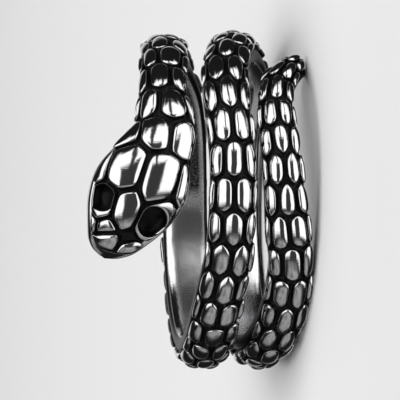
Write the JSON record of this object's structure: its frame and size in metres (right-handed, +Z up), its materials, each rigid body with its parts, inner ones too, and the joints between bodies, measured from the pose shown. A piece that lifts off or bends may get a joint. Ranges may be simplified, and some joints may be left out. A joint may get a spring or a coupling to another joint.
{
  "type": "snake wrap ring",
  "caption": "Finger ring in the form of a scaled snake wound round the finger, with the head on one edge and the tail curling off the other.",
  "frame": {"origin": "centre of the footprint's box, on the surface that the ring lies on", "axes": "+Z up, along the finger hole within four degrees, with the tail's turn down; the head lies on the -Y side with its snout towards -X"},
  "size_m": [0.0248, 0.025, 0.0161],
  "materials": {
    "polished_steel": "mirror-polished scales with blackened grooves"
  },
  "bodies": {
    "root": {"snake_ring": "polished_steel"}
  },
  "joints": []
}
